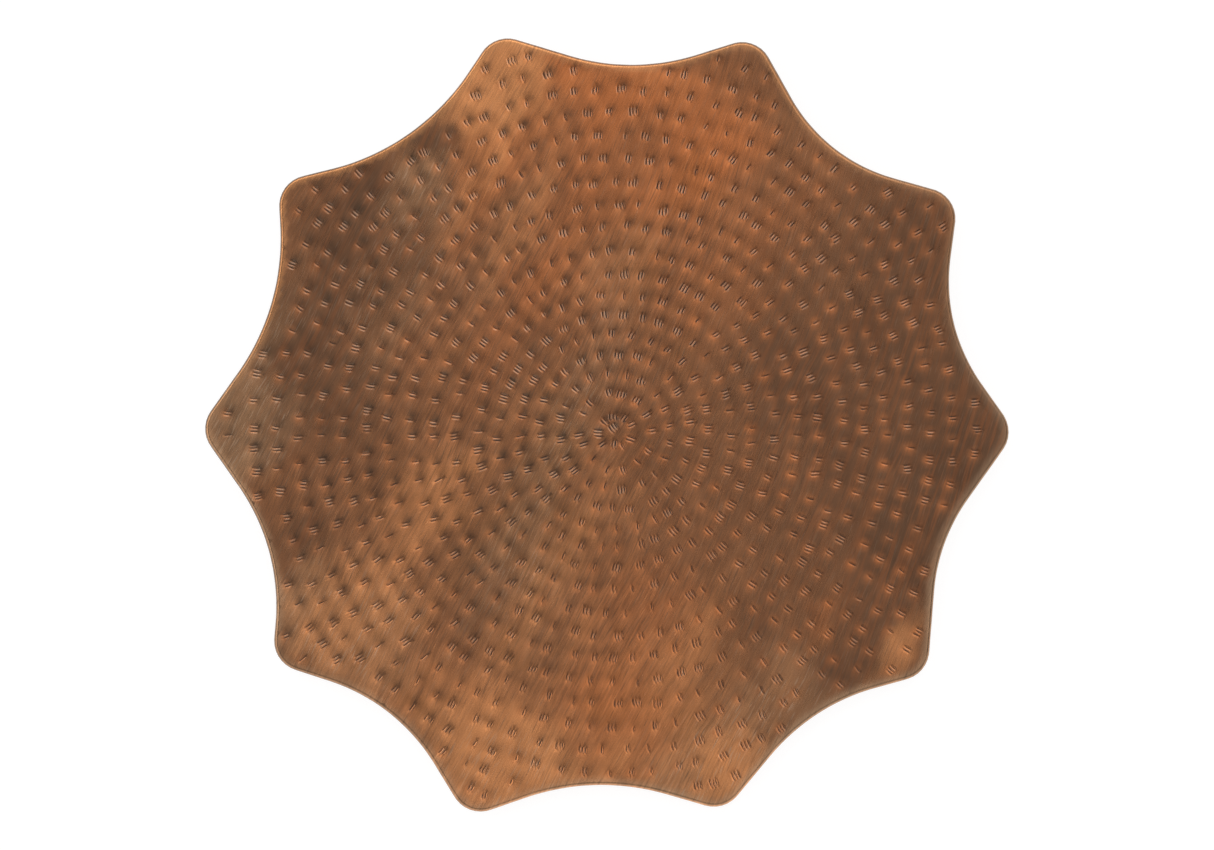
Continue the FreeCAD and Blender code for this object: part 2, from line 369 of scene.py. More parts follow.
def relief(marks, points, inside):
    """The top face's height at each point, and what the blows did to its finish there.

    inside is the distance from the fold line, over which everything fades out.
    """
    dents, grooves, groove_dark, shine, dent_highlight, dent_shade = np.zeros((6, len(points)))
    for mark in marks:
        near = np.flatnonzero((np.abs(points - mark["centre"]) < MARK_REACH).all(axis=1))
        across, along = in_mark(mark, points[near])
        off_across, off_along = mark["dent_off"]
        bowl = ((across - off_across) / mark["dent_across"]) ** 2
        bowl += ((along - off_along) / mark["dent_along"]) ** 2
        dents[near] += mark["dent"] * np.exp(-bowl / 2)
        away = points[near] - mark["centre"]
        # Painted highlight on the dent's lit side, and painted shade on its unlit side
        dent_highlight[near] = np.maximum(dent_highlight[near], mark["lit_side"] * cloud(away - HIGHLIGHT_SHIFT, HIGHLIGHT_SPREAD))
        dent_shade[near] = np.maximum(dent_shade[near], mark["dent_shade"] * cloud(away - DENT_SHADE_SHIFT, mark["dent_shade_size"]))
        for groove in mark["grooves"]:
            t = (across - groove["place"] - mark["bow"] * along**2) / GROOVE_WIDTH
            ends = smooth((groove["half"] + GROOVE_END / 2 - np.abs(along - groove["shift"])) / GROOVE_END)
            shape = (1 - LIP_SHARE * t * t) * np.exp(-t * t / 2) * ends
            grooves[near] += groove["depth"] * shape
            # Darker colour along each groove's bottom
            groove_dark[near] = np.maximum(groove_dark[near], mark["crisp"] * np.exp(-1.3 * t * t) * ends)
            shine[near] -= mark["gleam"] * np.minimum(shape, 0) * groove["depth"] / GROOVE_DEPTH[1]
    fade = smooth(inside / EDGE_FADE)
    waves = long_waves(points) + SHORT_WAVE_HEIGHT * ripple(points, SHORT_WAVE, 4)
    height = (waves - dents - grooves) * fade
    finish = {"groove_dark": groove_dark * fade, "dent": dents * fade, "shine": shine * fade}
    return height, {**finish, "dent_highlight": dent_highlight, "dent_shade": dent_shade}


# ---------------- copper sheet


def hex_grid(step, rng):
    """Jittered points on a triangular grid that covers the tray."""
    reach = max(SHEET_HIGH[0], SHEET_HIGH[1]) + step
    rows = np.arange(-reach, reach, step * math.sqrt(3) / 2)
    points = []
    for i, y in enumerate(rows):
        x = np.arange(-reach, reach, step) + (step / 2 if i % 2 else 0)
        points.append(np.column_stack([x, np.full(len(x), y)]))
    points = np.vstack(points)
    return points + rng.uniform(-0.09, 0.09, points.shape) * step


def top_points(marks, stations):
    """Mesh points inside the fold line: a fine patch on each mark, and an even fill between them."""
    fill = hex_grid(FILL_STEP, np.random.default_rng(7))
    free = edge_distance(fill, stations) > FILL_STEP * 0.55 + SHOULDER
    for mark in marks:
        near = np.flatnonzero(free & (np.abs(fill - mark["centre"]).max(axis=1) < 9))
        across, along = in_mark(mark, fill[near])
        columns, rows = patch_columns(mark), patch_rows(mark)
        covered = (across > columns[0] - PATCH_MARGIN) & (across < columns[-1] + PATCH_MARGIN)
        covered &= (along > rows[0] - PATCH_MARGIN) & (along < rows[-1] + PATCH_MARGIN)
        free[near[covered]] = False
    patches = np.vstack([patch_points(m) for m in marks])
    patches = patches[edge_distance(patches, stations) > SHOULDER + 0.4]
    return np.vstack([fill[free], patches])


def triangulate(stations, points):
    """Triangles between the stations, which come first, and the points inside them."""
    count = len(stations)
    everything = [Vector(p) for p in np.vstack([stations, points])]
    border = [(i, (i + 1) % count) for i in range(count)]
    made, _, triangles, origins, _, _ = delaunay_2d_cdt(everything, border, [], 1, 1e-5)
    index = [origin[0] for origin in origins]
    return [tuple(index[i] for i in triangle) for triangle in triangles]


def roll_rings(stations, outward):
    """The rolled edge as rings of points: round the outside, over the cut end, and back inside."""
    count = len(stations)
    walk = np.column_stack([np.arange(count) * STATION_STEP, np.zeros(count)])
    end = np.radians(ROLL_END_DEG + 5 * ripple(stations, 45, 12) + 2 * ripple(walk, 9, 13))
    rings = []
    for i in range(1, OUTER_STEPS + 1):
        angle = math.pi / 2 + (end - math.pi / 2) * i / OUTER_STEPS
        planished = 0.05 * ripple(stations + i * 2.1, 11, 14) + 0.05 * ripple(stations, 37, 15)
        radius = ROLL_OUTER + planished * math.sin(math.pi * i / (OUTER_STEPS + 1))
        rings.append((radius, angle))
    for i in range(INNER_STEPS + 1):
        angle = end + (math.pi / 2 - end) * i / INNER_STEPS
        rings.append((np.full(count, ROLL_INNER), angle))
    shaped = []
    for radius, angle in rings:
        reach = radius * np.cos(angle)
        flat = stations + outward * reach[:, None]
        shaped.append(np.column_stack([flat, WIRE_LEVEL + radius * np.sin(angle)]))
    return shaped


def set_attribute(mesh, name, values):
    """Stores one number for each point of a mesh, for its material to read."""
    attribute = mesh.attributes.new(name, "FLOAT", "POINT")
    attribute.data.foreach_set("value", np.asarray(values, np.float32))


def new_piece(name, points, faces):
    """A mesh object from millimetre points, smooth shaded, riding on the tray's one body."""
    mesh = bpy.data.meshes.new(name)
    mesh.from_pydata([tuple(p) for p in np.asarray(points) * MM], [], faces)
    mesh.validate()
    mesh.polygons.foreach_set("use_smooth", [True] * len(mesh.polygons))
    mesh.update()
    piece = bpy.data.objects.new(name, mesh)
    bpy.context.scene.collection.objects.link(piece)
    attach(piece, "root")
    return piece


def top_face(stations, outward, marks):
    """The top's points and triangles, how far each point is inside the fold line, and its finish."""
    shoulder = stations - outward * SHOULDER
    inner = np.vstack([shoulder, top_points(marks, stations)])
    inside = np.concatenate([np.zeros(len(stations)), edge_distance(inner, stations)])
    flat = np.vstack([stations, inner])
    height, finish = relief(marks, flat, inside)
    return np.column_stack([flat, TOP + height]), triangulate(stations, inner), inside, finish


def underside(stations, marks):
    """The underside's points within the fold line, its triangles, and how dented each point is."""
    count = len(stations)
    grid = hex_grid(UNDER_STEP, np.random.default_rng(8))
    grid = grid[edge_distance(grid, stations) > UNDER_STEP * 0.5]
    flat = np.vstack([stations, grid])
    inside = np.concatenate([np.zeros(count), edge_distance(grid, stations)])
    dents = relief(marks, flat, inside)[1]["dent"]
    waves = long_waves(flat) * smooth(inside / EDGE_FADE)
    off_foot = np.abs(np.hypot(flat[:, 0], flat[:, 1]) - FOOT_MIDDLE) - FOOT_WIDTH / 2
    room = FOOT_ROOM + (OPEN_ROOM - FOOT_ROOM) * smooth(off_foot / ROOM_CHANGE)
    height = np.maximum(waves - DENT_THROUGH * dents, -room)
    points = np.column_stack([grid, UNDER + height[count:]])
    return points, triangulate(stations, grid), dents[count:]


def stitch(loops):
    """Faces between each loop of point numbers and the next."""
    faces = []
    count = len(loops[0])
    for upper, lower in zip(loops, loops[1:]):
        for i in range(count):
            j = (i + 1) % count
            faces.append((upper[j], upper[i], lower[i], lower[j]))
    return faces


def copper_sheet():
    """The whole sheet as one closed mesh: top, rolled edge and underside."""
    stations, outward = fold_line()
    count = len(stations)
    marks = strikes(stations)
    top, top_faces, inside, finish = top_face(stations, outward, marks)
    rings = roll_rings(stations, outward)
    under, under_faces, raised = underside(stations, marks)
    points = np.vstack([top, *rings, under])

    starts = [0] + [len(top) + i * count for i in range(len(rings))]
    loops = [range(start, start + count) for start in starts]
    first_under = len(top) + len(rings) * count

    def under_number(i):
        return loops[-1][i] if i < count else first_under + i - count

    faces = top_faces + stitch(loops)
    faces += [tuple(under_number(i) for i in reversed(triangle)) for triangle in under_faces]
    sheet = new_piece("tray_sheet", points, faces)
    record_finish(sheet.data, points, count, inside, finish, raised)
    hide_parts("hammered_sheet")
    return sheet


def facing(bearings, side, base, swing):
    """How strongly something shows at each bearing, from 0 to 1, when it is strongest at one side."""
    return np.clip(base + swing * np.cos(bearings - side), 0, 1)


def record_finish(mesh, points, count, inside, finish, raised):
    """Stores what the material needs at each point: dark grooves, polish, painted light and shade, patina.

    The points are the top's, then the rolled edge's loops of count points, then the underside's.
    """
    top_count = len(inside)

    def lay_out(top, first_loop, end_loop):
        """Values on the top, 1 on some of the rolled edge's loops, and 0 on everything else."""
        values = np.zeros(len(points))
        values[:top_count] = top
        values[top_count + first_loop * count : top_count + end_loop * count] = 1.0
        return values

    for name in ("groove_dark", "shine", "dent_highlight", "dent_shade"):
        set_attribute(mesh, name, lay_out(finish[name], 0, 0))

    x, y = points[:, 0], points[:, 1]
    # Painted highlight: a paler line in from the edge, stronger towards -Y and +X
    rim_highlight = smooth(1 - inside / RIM_HIGHLIGHT_REACH) * (0.35 + 0.65 * smooth(0.5 - y[:top_count] / 250))
    rim_highlight *= 0.5 + 0.5 * smooth(0.5 + x[:top_count] / 200)
    set_attribute(mesh, "rim_highlight", lay_out(rim_highlight, 0, OUTER_STEPS))

    bearings = np.arctan2(y, x)
    # Painted highlight: a bright band along the edge on its lit sides
    lit = np.maximum(facing(bearings, 2.1, 0.25, 0.75), 0.2 * facing(bearings, -math.pi / 2, -0.2, 1.4))
    set_attribute(mesh, "edge_highlight", lay_out(smooth(1 - inside / EDGE_HIGHLIGHT_WIDTH), 0, 1) * lit)
    # Painted shade: a dark line on the outside of the roll, strongest towards the upper left
    set_attribute(mesh, "edge_shade", lay_out(0.0, 1, 4) * facing(bearings, 2.4, 0.6, 0.75))

    under = np.zeros(len(points))
    under[top_count + OUTER_STEPS * count :] = 1.0
    set_attribute(mesh, "under", under)
    set_attribute(mesh, "raised", np.concatenate([np.zeros(len(points) - len(raised)), raised]))
    for name, patches in PATINA.items():
        set_attribute(mesh, name, stain(points[:, :2], patches))


# ---------------- patina

BRUSH_BEARING = math.radians(61.0)

# How far the patches' edges wander, over what distance, and the two seeds of each wander
EDGE_WANDER = [(7, 40, (21, 22)), (3, 17, (23, 24))]

# Where the brushed patina is dark, warm, tan or pale. Each patch is its centre, its half-widths across and
# along the brush strokes, and its strength. They were placed one by one.
PATINA = {
    "dark": [
        (200, 5, 110, 140, 0.62), (235, -10, 30, 60, 0.4), (185, -75, 26, 40, 0.4),
        (168, -112, 20, 30, 0.3), (197, 105, 22, 50, 0.35), (110, 35, 30, 34, 0.4),
        (112, 105, 24, 30, 0.25), (172, 128, 30, 30, 0.4), (94, 214, 13, 20, 0.4),
        (-108, 184, 24, 12, 0.62), (-148, 148, 13, 22, 0.45), (-104, 174, 14, 12, 0.3),
        (-162, 132, 28, 34, 0.52), (-180, 58, 30, 62, 0.62), (-160, 5, 24, 36, 0.45),
        (-190, -66, 14, 18, 0.55), (-120, 106, 16, 32, 0.4), (-80, -126, 15, 32, 0.38),
        (36, -10, 22, 24, 0.35), (80, -130, 10, 36, 0.3), (98, -121, 9, 24, 0.3),
        (128, -155, 12, 20, 0.3), (150, -155, 13, 20, 0.55), (-55, 45, 14, 28, 0.3),
        (14, 168, 12, 40, 0.35),
    ],
    "warm": [
        (4, 222, 50, 28, 1.0), (2, 232, 46, 26, 0.7), (70, 178, 24, 40, 0.85),
        (12, 165, 50, 36, 0.5), (-62, 195, 24, 50, 0.7), (0, 110, 60, 60, 0.4),
        (-86, 128, 11, 44, 0.4), (80, 95, 26, 46, 0.3), (118, 135, 26, 40, 0.3),
        (8, -188, 42, 34, 0.62), (-69, -205, 30, 36, 0.5), (25, -125, 50, 46, 0.4),
        (-120, -140, 50, 50, 0.35), (136, -122, 9, 26, 0.5), (-60, 60, 18, 60, 0.35),
        (-112, 50, 16, 40, 0.3),
    ],
    "tan": [
        (-225, -3, 26, 36, 0.85), (-216, 44, 14, 36, 0.6), (-114, 155, 19, 28, 0.5),
        (-190, -106, 18, 26, 0.5), (-155, -130, 40, 40, 0.65), (118, -165, 30, 30, 0.35),
        (74, -205, 26, 34, 0.6), (-26, 0, 17, 90, 0.4), (-42, -72, 16, 34, 0.3),
        (5, 100, 18, 40, 0.3), (-60, -110, 40, 40, 0.25), (-60, -220, 50, 26, 0.75),
        (60, -228, 40, 16, 0.45), (118, -160, 20, 24, 0.2), (204, 152, 20, 16, 0.3),
        (-140, 80, 50, 80, 0.35),
    ],
    "pale": [
        (-69, 216, 30, 42, 1.0), (-80, 150, 9, 50, 0.35), (-160, -122, 36, 44, 0.62),
        (-112, -50, 20, 40, 0.55), (-64, -212, 42, 32, 1.0), (-10, -150, 44, 50, 0.25),
        (-56, 125, 13, 50, 0.4), (184, -134, 10, 22, 0.75), (74, -216, 26, 30, 0.8),
        (5, -224, 30, 30, 0.45), (-106, -170, 30, 34, 0.35), (52, -160, 24, 48, 0.4),
        (62, -112, 12, 40, 0.2), (136, -128, 8, 24, 0.25), (-54, -118, 18, 44, 0.34),
        (-56, -176, 22, 22, 0.2), (-112, -108, 26, 22, 0.12), (4, 236, 46, 14, 0.3),
        (2, 105, 22, 50, 0.25), (110, -165, 16, 22, 0.25), (-2, -55, 24, 44, 0.32),
        (-56, 0, 20, 36, 0.2),
    ],
}


def stain(points, patches):
    """How strongly a set of patches covers each point, with wandering edges."""
    c, s = math.cos(BRUSH_BEARING), math.sin(BRUSH_BEARING)
    wander = np.zeros(points.shape)
    for far, over, seeds in EDGE_WANDER:
        wander += np.column_stack([ripple(points, over, seed) for seed in seeds]) * far
    moved = points + wander
    clear = np.ones(len(points))
    for x, y, across, along, strength in patches:
        away = moved - np.array([x, y])
        u = (away[:, 0] * c + away[:, 1] * s) / along
        v = (-away[:, 0] * s + away[:, 1] * c) / across
        clear *= 1 - strength * np.exp(-((u * u + v * v) ** 1.4) * 0.7)
    return 1 - clear


# ---------------- solder and pads


def lathe(name, section, segments, shape):
    """A closed ring turned from a closed section of (radius, level) points.

    shape(angles, i, radius, level) returns that section point's radii and levels round the ring.
    """
    angles = np.arange(segments) * TURN / segments
    points = []
    for i, (radius, level) in enumerate(section):
        radii, levels = shape(angles, i, radius, level)
        points.append(np.column_stack([radii * np.cos(angles), radii * np.sin(angles), levels]))
    faces = []
    count = len(section)
    for i in range(count):
        j = (i + 1) % count
        for k in range(segments):
            m = (k + 1) % segments
            faces.append((i * segments + k, j * segments + k, j * segments + m, i * segments + m))
    return new_piece(name, np.vstack(points), faces)


def solder_bead():
    """The solder's film and its two fillets, uneven where it was run round with the iron."""
    outer = SOLDER_HIGH[0]
    wall = RING_HIGH[0]
    toe = outer - wall
    inner_flange = wall - FLANGE
    inner = inner_flange - toe
    top = UNDER + 0.02
    film = RING_HIGH[2]
    # Each corner of the section: radius, level, and how uneven it is from 0 to 1
    section = [
        (inner, top, 1.0),
        (outer, top, 1.0),
        (outer - 0.25 * toe, top - 0.18, 1.0),
        (wall + 0.35, top - 0.42, 0.8),
        (wall - 0.1, top - 0.78, 0.5),
        (wall - 0.55, top - 1.05, 0.0),
        (wall - 1.25, film - 0.33, 0.0),
        (wall - FOOT_BEND, film, 0.0),
        (inner_flange + 0.4, film, 0.0),
        (inner_flange, film - 0.2, 0.0),
        (inner_flange - 0.05, film - 0.6, 0.5),
        (inner_flange - 0.35, film - 0.25, 0.8),
        (inner + 0.25 * toe, top - 0.14, 1.0),
    ]
    middle = (inner + outer) / 2

    def shape(angles, i, radius, level):
        """A corner's radii and levels round the ring. Those of the flat top and bottom stay level."""
        loop = np.column_stack([np.cos(angles), np.sin(angles)]) * radius
        side = 1 if radius > middle else -1
        run = 0.35 * ripple(loop, 26, 31 + side) + 0.2 * ripple(loop, 7, 41 + side)
        swell = section[i][2]
        lift = 0.12 * ripple(loop, 11, 51) * swell if 2 < i < 12 else 0
        return radius + side * run * swell * 0.8, np.full(len(angles), level) + lift

    bead = lathe("solder_bead", [(r, z) for r, z, _ in section], 420, shape)
    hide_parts("foot_solder")
    return bead


def pad_places():
    """The middles of the felt discs, which stand on one circle, evenly spaced."""
    reach = PADS_HIGH[1] - PAD_RADIUS
    bearings = math.pi / 2 + np.arange(PAD_COUNT) * TURN / PAD_COUNT
    return [np.array([math.cos(a), math.sin(a)]) * reach for a in bearings]


def felt_pads():
    """The five felt discs: punched edges slightly rounded, and a lumpy pressed surface all over."""
    low, high = PADS_LOW[2], PADS_HIGH[2]
    middle, half = (low + high) / 2, (high - low) / 2
    spins = 72
    angles = np.arange(spins) * TURN / spins
    flats = np.linspace(0.08, 0.88, 14)
    shoulder = [(0.94, 0.97), (0.98, 0.86), (1.0, 0.62), (1.0, 0.3), (1.0, 0.0)]
    upper = [(f, 1.0) for f in flats] + shoulder
    profile = upper + [(f, -z) for f, z in reversed(upper[:-1])]
    points, faces = [], []
    for number, place in enumerate(pad_places()):
        start = len(points)
        for f, z in profile:
            flat = np.column_stack([np.cos(angles), np.sin(angles)]) * f * PAD_RADIUS
            lumps = 0.06 * ripple(flat, 0.9, 60 + number) + 0.05 * ripple(flat + z, 2.3, 70 + number)
            reach = 1 - 0.012 - 0.012 * ripple(flat + z * 3, 1.1, 80 + number) * (f > 0.9)
            levels = middle + z * half - np.sign(z) * np.abs(lumps) * (abs(z) > 0.5)
            points += list(np.column_stack([place + flat * reach[:, None], levels]))
        points.append(np.array([*place, high - 0.05]))
        points.append(np.array([*place, low + 0.05]))
        last = start + (len(profile) - 1) * spins
        for k in range(spins):
            m = (k + 1) % spins
            faces.append((len(points) - 2, start + k, start + m))
            faces.append((len(points) - 1, last + m, last + k))
            for i in range(len(profile) - 1):
                a, b = start + i * spins, start + (i + 1) * spins
                faces.append((a + k, b + k, b + m, a + m))
    pads = new_piece("felt_pads", points, faces)
    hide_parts("foot_pads")
    return pads


# ---------------- materials


class Graph:
    """A short way to write a node tree: each call makes a node and returns its output."""

    def __init__(self, tree):
        self.tree = tree

    def node(self, kind, *values, **settings):
        """A node of this kind, with its settings, and these values joined to its first inputs."""
        made = self.tree.nodes.new(kind)
        for key, value in settings.items():
            setattr(made, key, value)
        for value, socket in zip(values, made.inputs):
            self.join(value, socket)
        return made

    def join(self, value, socket):
        """Links a node's output to a socket, or sets the socket to a plain value; None leaves it."""
        if isinstance(value, bpy.types.NodeSocket):
            self.tree.links.new(value, socket)
        elif value is not None:
            socket.default_value = value

    def math(self, operation, a, b=None, c=None):
        return self.node("ShaderNodeMath", a, b, c, operation=operation).outputs[0]

    def vector(self, operation, a, b=None, c=None):
        made = self.node("ShaderNodeVectorMath", a, b, c, operation=operation)
        return made.outputs["Value" if operation == "DOT_PRODUCT" else "Vector"]

    def attribute(self, name):
        """A number that set_attribute stored in the mesh."""
        return self.node("ShaderNodeAttribute", attribute_name=name).outputs["Fac"]

    def add(self, noise, weight, onto):
        """A value with some noise added, which is taken to swing about one half."""
        return self.math("MULTIPLY_ADD", self.math("SUBTRACT", noise, 0.5), weight, onto)

    def range(self, value, low, high, to_low=0.0, to_high=1.0):
        """A smooth rise from to_low to to_high as the value goes from low to high."""
        ends = (low, high, to_low, to_high)
        made = self.node("ShaderNodeMapRange", value, *ends, interpolation_type="SMOOTHSTEP")
        return made.outputs[0]

    def mix(self, share, a, b, blend="MIX"):
        """Two colours mixed. Inputs 6 and 7 and output 2 are the node's colour sockets."""
        made = self.node("ShaderNodeMix", data_type="RGBA", blend_type=blend)
        self.join(share, made.inputs["Factor"])
        self.join(a, made.inputs[6])
        self.join(b, made.inputs[7])
        return made.outputs[2]

    def glaze(self, base, share, strength, colour):
        """A colour laid over another, where share is high, at this strength."""
        return self.mix(self.math("MULTIPLY", share, strength), base, colour)

    def split(self, vector):
        """A vector's three parts."""
        return self.node("ShaderNodeSeparateXYZ", vector).outputs

    def joined(self, *values):
        """A vector from its three parts."""
        return self.node("ShaderNodeCombineXYZ", *values).outputs[0]

    def noise(self, place, scale, detail=3.0, roughness=0.5):
        """Cloudy noise. The input left out is W, which counts only in 4-D noise."""
        return self.node("ShaderNodeTexNoise", place, None, scale, detail, roughness).outputs["Fac"]

    def place(self):
        """Object coordinates in millimetres."""
        return self.scaled(self.node("ShaderNodeTexCoord").outputs["Object"], (1 / MM,) * 3)

    def round_place(self):
        """Millimetres round the tray's axis, out from it, and up."""
        x, y, z = self.split(self.place())
        radius = self.math("SQRT", self.math("MULTIPLY_ADD", x, x, self.math("MULTIPLY", y, y)))
        round_it = self.math("MULTIPLY", self.math("ARCTAN2", y, x), FOOT_MIDDLE)
        return self.joined(round_it, radius, z)

    def grain(self, place, lengths, detail=3.0):
        """Noise with its own grain size along each axis."""
        return self.noise(self.scaled(place, tuple(1 / length for length in lengths)), 1.0, detail)

    def bump(self, height, depth, below=None):
        """A surface normal from fine relief this many millimetres deep."""
        made = self.node("ShaderNodeBump")
        made.inputs["Strength"].default_value = 1.0
        made.inputs["Distance"].default_value = depth * MM
        self.join(height, made.inputs["Height"])
        self.join(below, made.inputs["Normal"])
        return made.outputs[0]

    def surface(self, **inputs):
        """A principled surface, joined to the material's output."""
        shader = self.node("ShaderNodeBsdfPrincipled")
        for name, value in inputs.items():
            self.join(value, shader.inputs[name.replace("_", " ")])
        self.output(shader.outputs[0])

    def output(self, shader, kind="ShaderNodeOutputMaterial"):
        """Joins a shader to the end of the tree."""
        self.node(kind, shader)

    def scaled(self, vector, factors, turn=0.0, shift=(0, 0, 0)):
        """A vector with each part multiplied, then turned about Z, then shifted."""
        return self.node("ShaderNodeMapping", vector, shift, (0, 0, turn), factors).outputs[0]


def new_material(name):
    """A material with an empty node tree, and the graph to fill it with."""
    material = bpy.data.materials.new(name)
    material.use_nodes = True
    material.node_tree.nodes.clear()
    return material, Graph(material.node_tree)


# How far the brush strokes wander, over what distance, and how much steeper they get with x
STROKE_DRIFT = 9.0
DRIFT_LENGTH = 75.0
STROKE_LEAN = 0.054
LEAN_GAIN = 0.0009


def brushed_place(g):
    """Millimetres along and across the brush strokes, which wander and stand steeper at the right."""
    drift = g.node("ShaderNodeTexNoise", g.scaled(g.place(), (1 / DRIFT_LENGTH,) * 3), None, 1.0, 1.0)
    bent = g.vector("MULTIPLY_ADD", drift.outputs["Color"], (STROKE_DRIFT, STROKE_DRIFT, 0), g.place())
    x, y, z = g.split(bent)
    steeper = g.math("MULTIPLY_ADD", g.math("MAXIMUM", x, 0.0), LEAN_GAIN, STROKE_LEAN)
    lean = g.math("MULTIPLY", steeper, y)
    return g.scaled(g.joined(g.math("ADD", x, lean), y, z), (1, 1, 1), -BRUSH_BEARING)


def streaks(g, brushed, across, along, detail, seed):
    """Noise drawn out along the brush strokes: across and along are its grain in millimetres."""
    factors = (1 / along, 1 / across, 1 / along)
    return g.noise(g.scaled(brushed, factors, shift=(seed, seed * 1.7, seed * 0.3)), 1.0, detail)


COPPER = {
    "plain": (0.35, 0.142, 0.057, 1),
    "warm": (0.64, 0.20, 0.058, 1),
    "tan": (0.45, 0.235, 0.115, 1),
    "pale": (0.86, 0.345, 0.125, 1),
    "dark": (0.17, 0.081, 0.039, 1),
    "ember": (0.36, 0.124, 0.042, 1),
    # Painted highlight on each dent's lit side, then painted shade on its unlit side
    "lit_side": (0.70, 0.222, 0.066, 1),
    "dent_shade": (0.11, 0.072, 0.042, 1),
    # Painted highlights along the edge, then painted shade on the outside of the roll
    "rim_highlight": (0.66, 0.43, 0.26, 1),
    "lower highlight": (1.0, 0.62, 0.36, 1),
    "upper highlight": (0.98, 0.42, 0.15, 1),
    "edge_shade": (0.10, 0.085, 0.075, 1),
    "scored": (0.12, 0.075, 0.045, 1),
    "rubbed": (0.78, 0.56, 0.39, 1),
    "polished": (0.88, 0.63, 0.46, 1),
    # Darker colour for the groove bottoms
    "groove_dark": (0.055, 0.038, 0.028, 1),
    "bright scale": (0.30, 0.125, 0.06, 1),
    "dull scale": (0.15, 0.075, 0.045, 1),
    "speck": (0.085, 0.06, 0.045, 1),
    "scale stroke": (0.5, 0.24, 0.13, 1),
    "raised": (0.50, 0.225, 0.115, 1),
}


def patina(g, brushed, medium, broad):
    """The copper's ground colour, and how dark it is from 0 to 1."""
    mottle = g.noise(g.place(), 1 / 22, 4.0, 0.6)
    clots = g.noise(g.place(), 1 / 11, 2.0, 0.5)
    wander = g.add(medium, 0.7, g.math("SUBTRACT", broad, 0.5))
    wander = g.add(mottle, 0.6, wander)
    wander = g.add(clots, 0.45, wander)

    def share(name, spread):
        return g.range(g.math("MULTIPLY_ADD", wander, spread, g.attribute(name)), 0.02, 0.96)

    colour = g.mix(share("warm", 0.32), COPPER["plain"], COPPER["warm"])
    colour = g.mix(share("tan", 0.35), colour, COPPER["tan"])
    colour = g.mix(share("pale", 0.32), colour, COPPER["pale"])
    darkness = share("dark", 0.42)
    colour = g.mix(darkness, colour, COPPER["dark"])
    embers = g.range(streaks(g, brushed, 2.6, 55, 2.0, 71.0), 0.44, 0.64, 0.0, 0.6)
    return g.glaze(colour, embers, darkness, COPPER["ember"]), darkness


def around_marks_and_edge(g, colour):
    """Painted highlight and shade round each mark, and the edge's painted highlight lines and shade line.
    """
    # Painted highlight on each dent's lit side, then painted shade on its unlit side
    colour = g.glaze(colour, g.attribute("dent_highlight"), 0.82, COPPER["lit_side"])
    colour = g.glaze(colour, g.attribute("dent_shade"), 0.9, COPPER["dent_shade"])
    # Painted highlight along the edge, a bright band of painted highlight, and a dark line of painted shade
    colour = g.glaze(colour, g.attribute("rim_highlight"), 0.42, COPPER["rim_highlight"])
    upper = g.range(g.split(g.place())[1], -60.0, 60.0)
    highlight_colour = g.mix(upper, COPPER["lower highlight"], COPPER["upper highlight"])
    colour = g.glaze(colour, g.attribute("edge_highlight"), 0.62, highlight_colour)
    return g.glaze(colour, g.attribute("edge_shade"), 0.75, COPPER["edge_shade"])


def brushed_colour(g, colour, fine, medium, broad):
    """The colour under brush strokes, which are stronger in some places and weaker on dark and pale."""
    vigour = g.range(g.noise(g.place(), 1 / 38, 2.0), 0.36, 0.64, 0.35, 1.05)
    vigour = g.math("MULTIPLY", vigour, g.range(g.attribute("dark"), 0.0, 0.8, 1.0, 0.8))
    vigour = g.math("MULTIPLY", vigour, g.range(g.attribute("pale"), 0.0, 0.8, 1.0, 0.8))
    strokes = g.add(fine, vigour, 1.0)
    strokes = g.add(medium, 0.27, strokes)
    strokes = g.add(broad, 0.3, strokes)
    tint = g.node("ShaderNodeCombineColor", strokes, strokes, strokes).outputs[0]
    return g.mix(1.0, colour, tint, "MULTIPLY")


def scratches_and_grooves(g, brushed, colour):
    """Dark and bright scratches along the strokes, polish on the marks' lips, and darker groove bottoms."""
    scored = g.range(streaks(g, brushed, 0.7, 14, 1.0, 41.0), 0.62, 0.72, 0.0, 0.35)
    colour = g.mix(scored, colour, COPPER["scored"])
    rubbed = g.range(streaks(g, brushed, 0.7, 11, 1.0, 57.0), 0.59, 0.71, 0.0, 0.3)
    colour = g.glaze(colour, rubbed, g.range(g.attribute("tan"), 0.1, 0.7, 0.2, 1.0), COPPER["rubbed"])
    colour = g.mix(g.range(g.attribute("shine"), 0.02, 0.13, 0.0, 0.38), colour, COPPER["polished"])
    # Darker colour along the groove bottoms
    return g.mix(g.range(g.attribute("groove_dark"), 0.15, 0.9), colour, COPPER["groove_dark"])


def fire_scale(g, clouds, fine):
    """The underside's colour: cloudy scale with specks and strokes, rubbed where the dents stand proud."""
    colour = g.mix(g.range(clouds, 0.34, 0.66), COPPER["bright scale"], COPPER["dull scale"])
    specks = g.range(g.noise(g.place(), 1 / 4, 4.0, 0.7), 0.60, 0.72, 0.0, 0.6)
    colour = g.mix(specks, colour, COPPER["speck"])
    colour = g.mix(g.range(fine, 0.45, 0.7, 0.0, 0.25), colour, COPPER["scale stroke"])
    return g.mix(g.range(g.attribute("raised"), 0.03, 0.2, 0.0, 0.5), colour, COPPER["raised"])


